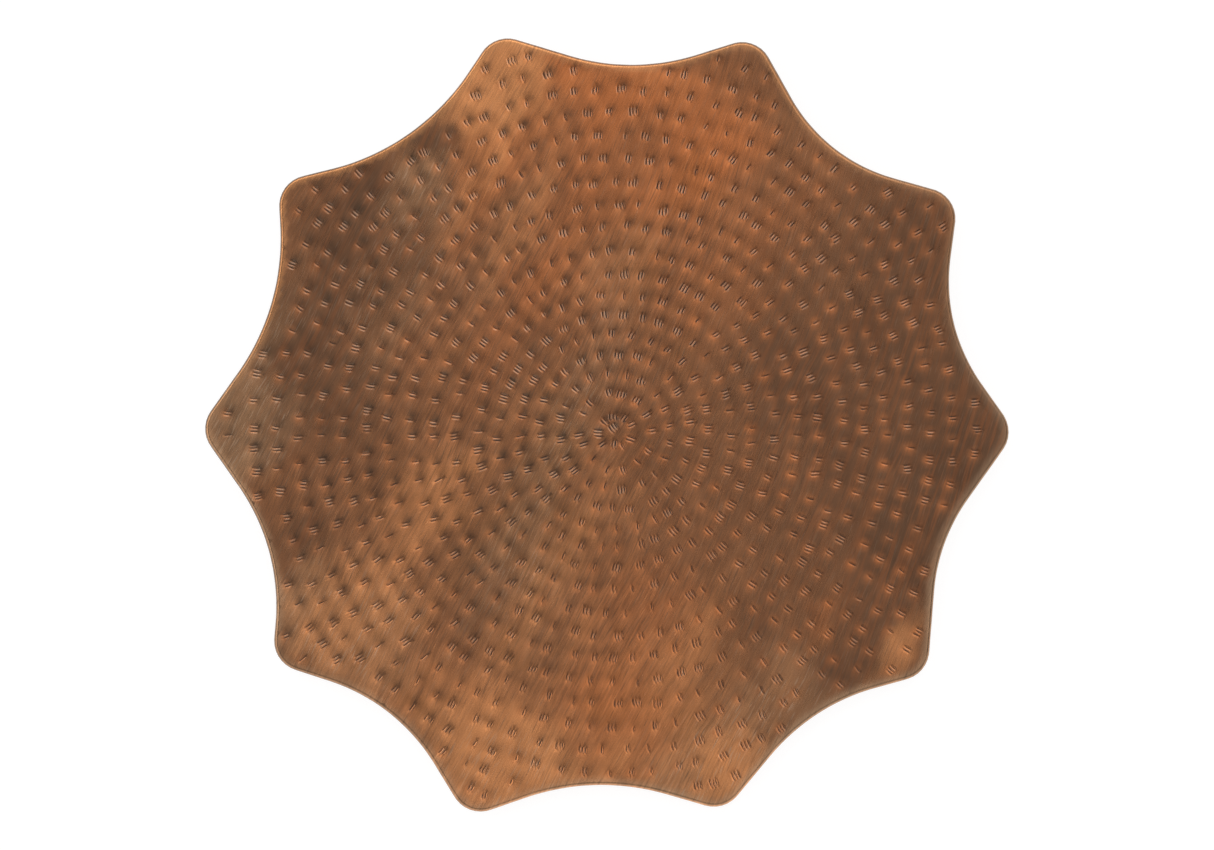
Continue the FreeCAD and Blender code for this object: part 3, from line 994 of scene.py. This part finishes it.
def aged_copper():
    """The sheet's copper: brushed patina and worn marks on top, fire scale underneath."""
    material, g = new_material("aged_copper")
    brushed = brushed_place(g)
    fine = streaks(g, brushed, 0.85, 13, 3.0, 3.0)
    medium = streaks(g, brushed, 2.2, 38, 2.0, 11.0)
    broad = streaks(g, brushed, 9.0, 80, 2.0, 23.0)
    colour, darkness = patina(g, brushed, medium, broad)
    colour = around_marks_and_edge(g, colour)
    colour = brushed_colour(g, colour, fine, medium, broad)
    colour = scratches_and_grooves(g, brushed, colour)

    under = g.attribute("under")
    clouds = g.noise(g.place(), 1 / 34, 5.0, 0.6)
    colour = g.mix(under, colour, fire_scale(g, clouds, fine))
    rough = g.math("MULTIPLY_ADD", fine, 0.1, 0.2)
    rough = g.math("MULTIPLY_ADD", darkness, 0.06, rough)
    rough = g.math("MULTIPLY_ADD", g.math("MULTIPLY", under, clouds), 0.25, rough)
    g.surface(
        Base_Color=colour,
        Metallic=1.0,
        Roughness=rough,
        Anisotropic=0.35,
        Tangent=g.joined(-math.sin(BRUSH_BEARING), math.cos(BRUSH_BEARING), 0.0),
        Normal=g.bump(fine, 0.02),
        Coat_Weight=0.5,
        Coat_Roughness=0.4,
    )
    return material


def strip_copper():
    """Rolled copper strip, bent round: fine drawn lines along it, tarnish in clouds, a few dark spots."""
    material, g = new_material("strip_copper")
    around = g.round_place()
    lines = g.grain(around, (45, 0.35, 0.35), 2.0)
    clouds = g.grain(g.place(), (26, 26, 9), 4.0)
    spots = g.range(g.noise(g.place(), 1 / 3.2, 3.0, 0.7), 0.62, 0.74)
    colour = g.mix(g.range(clouds, 0.35, 0.68), (0.58, 0.235, 0.105, 1), (0.30, 0.125, 0.06, 1))
    colour = g.glaze(colour, g.range(lines, 0.3, 0.75), 0.3, (0.72, 0.36, 0.2, 1))
    colour = g.glaze(colour, spots, 0.6, (0.13, 0.065, 0.04, 1))
    rough = g.math("MULTIPLY_ADD", clouds, 0.22, g.math("MULTIPLY_ADD", lines, 0.12, 0.18))
    dings = g.bump(g.noise(g.place(), 1 / 5.5, 2.0), 0.12)
    g.surface(
        Base_Color=colour,
        Metallic=1.0,
        Roughness=rough,
        Normal=g.bump(lines, 0.012, dings),
        Coat_Weight=0.25,
        Coat_Roughness=0.4,
    )
    return material


def rivet_copper():
    """Soft copper rivet stock: rubbed bright, with small tool marks and dark rings of old polish."""
    material, g = new_material("rivet_copper")
    marks = g.noise(g.place(), 1 / 0.7, 3.0, 0.6)
    clouds = g.noise(g.place(), 1 / 2.4, 3.0, 0.6)
    colour = g.mix(g.range(clouds, 0.36, 0.66), (0.70, 0.31, 0.16, 1), (0.36, 0.15, 0.075, 1))
    rough = g.math("MULTIPLY_ADD", clouds, 0.3, 0.12)
    normal = g.bump(marks, 0.05, g.bump(clouds, 0.1))
    g.surface(Base_Color=colour, Metallic=1.0, Roughness=rough, Normal=normal)
    return material


def drawn_steel():
    """Steel wire: drawing lines along it, grey oxide and rust blooms."""
    material, g = new_material("drawn_steel")
    lines = g.noise(g.place(), 1 / 0.3, 2.0)
    clouds = g.noise(g.place(), 1 / 9, 4.0, 0.6)
    rust = g.range(g.noise(g.place(), 1 / 14, 5.0, 0.65), 0.52, 0.66)
    colour = g.mix(clouds, (0.46, 0.45, 0.43, 1), (0.27, 0.265, 0.26, 1))
    colour = g.glaze(colour, rust, 0.8, (0.20, 0.075, 0.03, 1))
    rough = g.math("MULTIPLY_ADD", rust, 0.35, g.math("MULTIPLY_ADD", lines, 0.15, 0.3))
    metal = g.math("SUBTRACT", 1.0, g.math("MULTIPLY", rust, 0.8))
    g.surface(Base_Color=colour, Metallic=metal, Roughness=rough, Normal=g.bump(lines, 0.02))
    return material


def soft_solder():
    """Dull grey solder with a frosted grain, brighter where it was wiped, brown where flux dried."""
    material, g = new_material("soft_solder")
    frost = g.noise(g.place(), 1 / 0.5, 3.0, 0.6)
    pools = g.grain(g.round_place(), (16, 4, 4), 3.0)
    flux = g.range(g.noise(g.place(), 1 / 7, 4.0, 0.65), 0.56, 0.7)
    colour = g.mix(g.range(pools, 0.35, 0.65), (0.62, 0.62, 0.60, 1), (0.36, 0.36, 0.355, 1))
    colour = g.glaze(colour, flux, 0.6, (0.22, 0.14, 0.07, 1))
    rough = g.math("MULTIPLY_ADD", frost, 0.25, g.math("MULTIPLY_ADD", flux, 0.2, 0.28))
    normal = g.bump(frost, 0.04, g.bump(pools, 0.15))
    g.surface(Base_Color=colour, Metallic=0.95, Roughness=rough, Normal=normal)
    return material


def wool_felt():
    """Pressed wool: a mat of fibres in dark browns, with a soft sheen."""
    material, g = new_material("wool_felt")
    fibres = g.noise(g.place(), 1 / 0.22, 4.0, 0.75)
    across = g.grain(g.place(), (0.16, 1.4, 0.3), 3.0)
    lumps = g.noise(g.place(), 1 / 1.6, 3.0, 0.6)
    colour = g.mix(g.range(fibres, 0.35, 0.68), (0.045, 0.034, 0.028, 1), (0.135, 0.105, 0.085, 1))
    colour = g.glaze(colour, g.range(across, 0.55, 0.7), 0.5, (0.22, 0.18, 0.15, 1))
    colour = g.glaze(colour, lumps, 0.4, (0.06, 0.045, 0.038, 1))
    normal = g.bump(fibres, 0.12, g.bump(across, 0.06))
    g.surface(
        Base_Color=colour,
        Roughness=0.95,
        Normal=normal,
        Sheen_Weight=0.6,
        Sheen_Roughness=0.4,
        Sheen_Tint=(0.75, 0.68, 0.6, 1),
    )
    return material


def dress(node, material):
    """Gives a CAD node its material."""
    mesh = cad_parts[node].data
    mesh.materials.clear()
    mesh.materials.append(material)


# The floor's own glow keeps it near white. It reaches this many metres, and can't be seen from below.
FLOOR_REACH = 6.0
FLOOR_GREY = 0.25
FLOOR_GLOW = 0.88


def floor():
    """A pale floor to stand the tray on in pictures, which is no part of it."""
    mesh = bpy.data.meshes.new("floor")
    corners = [(x * FLOOR_REACH, y * FLOOR_REACH, 0) for x, y in ((-1, -1), (1, -1), (1, 1), (-1, 1))]
    mesh.from_pydata(corners, [], [(0, 1, 2, 3)])
    plane = bpy.data.objects.new("floor", mesh)
    bpy.context.scene.collection.objects.link(plane)
    material, g = new_material("pale_floor")
    shader = g.node("ShaderNodeBsdfPrincipled")
    shader.inputs["Base Color"].default_value = (FLOOR_GREY, FLOOR_GREY, FLOOR_GREY, 1)
    shader.inputs["Roughness"].default_value = 0.8
    shader.inputs["Emission Color"].default_value = (1, 1, 1, 1)
    shader.inputs["Emission Strength"].default_value = FLOOR_GLOW
    back = g.node("ShaderNodeNewGeometry").outputs["Backfacing"]
    clear = g.node("ShaderNodeBsdfTransparent").outputs[0]
    g.output(g.node("ShaderNodeMixShader", back, shader.outputs[0], clear).outputs[0])
    mesh.materials.append(material)


# Studio, in degrees. GLOW is a soft patch of light near the zenith, up and to the right: its bearing, its
# angle off the zenith, and how far it reaches in full and in all. ARC is a white arc round the upper left:
# its bearing, how far it spreads to each side with how long a fade, and where it lies off the zenith.
GLOW = {"bearing": 40.0, "lean": 15.0, "full": 4.0, "reach": 27.0, "strength": 1.265}
ARC = {"bearing": 125.0, "spread": 115.0, "fade": 70.0, "from": 28.0, "to": 47.0, "strength": 2.1}

# The rest of the sky is dim overhead and brighter near the horizon. Each pair is its strength towards -Y
# and elsewhere. -Y begins where the direction's own y is FRONT_FROM.
OVERHEAD = (0.5, 0.1)
HORIZON = (1.1, 0.7)
HORIZON_FROM = 40.0
HORIZON_TO = 68.0
FRONT_FROM = -0.6


def direction_of(bearing, lean):
    """A unit vector from its bearing and its angle off the zenith, both in degrees."""
    bearing, lean = math.radians(bearing), math.radians(lean)
    flat = math.sin(lean)
    return (flat * math.cos(bearing), flat * math.sin(bearing), math.cos(lean))


def studio():
    """The light: a world with a soft glow, a white arc and a plain sky, and no lamps."""
    world = bpy.data.worlds.new("studio")
    bpy.context.scene.world = world
    world.use_nodes = True
    world.node_tree.nodes.clear()
    g = Graph(world.node_tree)
    direction = g.node("ShaderNodeTexCoord").outputs["Generated"]

    def off(vector, axis):
        return g.math("ARCCOSINE", g.vector("DOT_PRODUCT", vector, axis))

    def between(angle, low, high, *ends):
        return g.range(angle, math.radians(low), math.radians(high), *ends)

    glow_off = off(direction, direction_of(GLOW["bearing"], GLOW["lean"]))
    glow = between(glow_off, GLOW["reach"], GLOW["full"], 0.0, GLOW["strength"])

    polar = off(direction, (0, 0, 1))
    flat = g.vector("NORMALIZE", g.vector("MULTIPLY", direction, (1, 1, 0)))
    aside = off(flat, direction_of(ARC["bearing"], 90.0))
    inner = between(polar, ARC["from"] - 6, ARC["from"] + 8)
    outer = between(polar, ARC["to"] + 8, ARC["to"] - 8)
    beside = between(aside, ARC["spread"], ARC["spread"] - ARC["fade"])
    arc = g.math("MULTIPLY", g.math("MULTIPLY", inner, outer), beside)
    lamps = g.math("MULTIPLY_ADD", arc, ARC["strength"], glow)

    y = g.split(direction)[1]
    overhead = g.range(y, FRONT_FROM, 0.0, *OVERHEAD)
    low_sky = g.range(y, FRONT_FROM, 0.0, *HORIZON)
    sky = between(polar, HORIZON_FROM, HORIZON_TO, overhead, low_sky)
    background = g.node("ShaderNodeBackground", None, g.math("ADD", lamps, sky))
    g.output(background.outputs[0], "ShaderNodeOutputWorld")


# The camera looks straight down, so far off that there is next to no perspective
FRAME_WIDTH = 755.9
FRAME_MIDDLE = (0.3, 0.3)
CAMERA_HEIGHT = 12000.0


def camera():
    """The camera straight above, which takes in FRAME_WIDTH at the level of the tray's top."""
    data = bpy.data.cameras.new("camera")
    data.sensor_width = 36.0
    data.lens = data.sensor_width * CAMERA_HEIGHT / FRAME_WIDTH
    data.clip_end = 50.0
    made = bpy.data.objects.new("camera", data)
    made.location = (FRAME_MIDDLE[0] * MM, FRAME_MIDDLE[1] * MM, (TOP + CAMERA_HEIGHT) * MM)
    bpy.context.scene.collection.objects.link(made)
    bpy.context.scene.camera = made


copper_sheet().data.materials.append(aged_copper())
solder_bead().data.materials.append(soft_solder())
felt_pads().data.materials.append(wool_felt())
dress("foot_ring", strip_copper())
dress("splice_plate", strip_copper())
dress("splice_rivets", rivet_copper())
dress("edge_wire", drawn_steel())
floor()
studio()
camera()
bpy.context.scene.view_settings.view_transform = "Standard"

bpy.context.view_layer.update()
